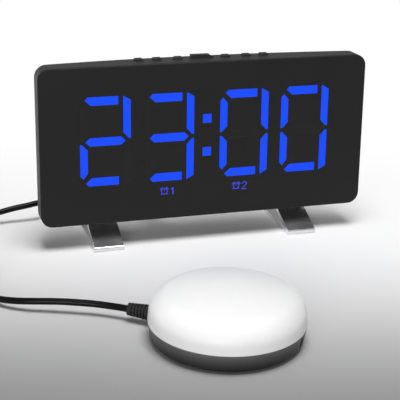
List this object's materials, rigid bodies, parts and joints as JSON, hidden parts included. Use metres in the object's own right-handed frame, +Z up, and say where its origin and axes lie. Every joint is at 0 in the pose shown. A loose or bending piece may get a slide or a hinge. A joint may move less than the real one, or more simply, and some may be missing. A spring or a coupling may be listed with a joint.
{
  "type": "bed shaker alarm clock",
  "caption": "Flat digital alarm clock on chrome V legs, with a corded vibrating puck that goes under the pillow.",
  "frame": {"origin": "on the table, below the middle of the box that holds the clock and the puck", "axes": "+X right seen from the front, +Y back, +Z up"},
  "size_m": [0.2687, 0.2276, 0.1039],
  "materials": {
    "lens_black": "satin smoked panel",
    "segment_lit": "lit diffuser",
    "segment_unlit": "satin, as dark as the panel",
    "icon_blue": "dimly lit print",
    "case_black": "satin moulded",
    "button_black": "satin moulded",
    "plunger_white": "moulded",
    "reflector_white": "moulded",
    "board_green": "solder mask",
    "led_yellow": "clear resin",
    "part_black": "moulded",
    "steel": "plated",
    "chrome": "polished",
    "shaker_white": "polished moulded",
    "shaker_black": "satin moulded",
    "foot_rubber": "matte",
    "end_cap_white": "moulded",
    "magnet_grey": "sintered",
    "armature_iron": "laminated and wound",
    "weight_brass": "turned",
    "relief_rubber": "moulded",
    "wire_red": "insulated",
    "plug_black": "moulded",
    "plug_metal": "plated",
    "cord_black": "satin jacket",
    "tie_black": "moulded"
  },
  "bodies": {
    "clock_and_shaker": {"front_lens": "lens_black", "lit_segments": "segment_lit", "unlit_segments": "segment_unlit", "alarm_icons": "icon_blue", "front_frame": "case_black", "rear_housing": "case_black", "light_reflector": "reflector_white", "main_board": "board_green", "led_chips": "led_yellow", "control_chip": "part_black", "buzzer": "part_black", "coin_cell_holder": "part_black", "shaker_socket": "part_black", "power_socket": "part_black", "tact_switches": "part_black", "quartz_crystal": "steel", "coin_cell": "steel", "housing_screws": "steel", "leg_screws": "steel", "shaker_screws": "steel", "strap_screws": "steel", "motor_can": "steel", "motor_strap": "steel", "left_leg": "chrome", "right_leg": "chrome", "shaker_top": "shaker_white", "shaker_base": "shaker_black", "shaker_feet": "foot_rubber", "motor_end_cap": "end_cap_white", "motor_magnets": "magnet_grey", "shaker_relief": "relief_rubber", "motor_leads": "wire_red", "shaker_plug": "plug_black", "plug_barrel": "plug_metal", "cord_coil": "cord_black", "cord_clock_run": "cord_black", "cord_shaker_run": "cord_black", "coil_tie": "tie_black"},
    "alarm_1_key": {"alarm_1_button": "button_black", "alarm_1_plunger": "plunger_white"},
    "alarm_2_key": {"alarm_2_button": "button_black", "alarm_2_plunger": "plunger_white"},
    "time_key": {"time_button": "button_black", "time_plunger": "plunger_white"},
    "snooze_key": {"snooze_button": "button_black", "snooze_plunger": "plunger_white"},
    "minus_key": {"minus_button": "button_black", "minus_plunger": "plunger_white"},
    "plus_key": {"plus_button": "button_black", "plus_plunger": "plunger_white"},
    "dimmer_key": {"dimmer_button": "button_black", "dimmer_plunger": "plunger_white"},
    "rotor": {"motor_shaft": "steel", "motor_armature": "armature_iron", "eccentric_weight": "weight_brass"},
    "door": {"battery_door": "case_black"}
  },
  "joints": [
    {"name": "alarm_1_press", "type": "slide", "parent": "clock_and_shaker", "child": "alarm_1_key", "axis": [0, -0.0349, -0.9994], "range_m": [0, 0.0007], "stiffness_N_per_m": 400},
    {"name": "alarm_2_press", "type": "slide", "parent": "clock_and_shaker", "child": "alarm_2_key", "axis": [0, -0.0349, -0.9994], "range_m": [0, 0.0007], "stiffness_N_per_m": 400},
    {"name": "time_press", "type": "slide", "parent": "clock_and_shaker", "child": "time_key", "axis": [0, -0.0349, -0.9994], "range_m": [0, 0.0007], "stiffness_N_per_m": 400},
    {"name": "snooze_press", "type": "slide", "parent": "clock_and_shaker", "child": "snooze_key", "axis": [0, -0.0349, -0.9994], "range_m": [0, 0.0007], "stiffness_N_per_m": 400},
    {"name": "minus_press", "type": "slide", "parent": "clock_and_shaker", "child": "minus_key", "axis": [0, -0.0349, -0.9994], "range_m": [0, 0.0007], "stiffness_N_per_m": 400},
    {"name": "plus_press", "type": "slide", "parent": "clock_and_shaker", "child": "plus_key", "axis": [0, -0.0349, -0.9994], "range_m": [0, 0.0007], "stiffness_N_per_m": 400},
    {"name": "dimmer_press", "type": "slide", "parent": "clock_and_shaker", "child": "dimmer_key", "axis": [0, -0.0349, -0.9994], "range_m": [0, 0.0007], "stiffness_N_per_m": 400},
    {"name": "door_off", "type": "slide", "parent": "clock_and_shaker", "child": "door", "axis": [0, 0.9994, -0.0349], "range_m": [0, 0.012]},
    {"name": "motor_spin", "type": "hinge", "parent": "clock_and_shaker", "child": "rotor", "pos_m": [-0.0256, -0.0651, 0.0122], "axis": [1, 0, 0], "continuous": true}
  ]
}
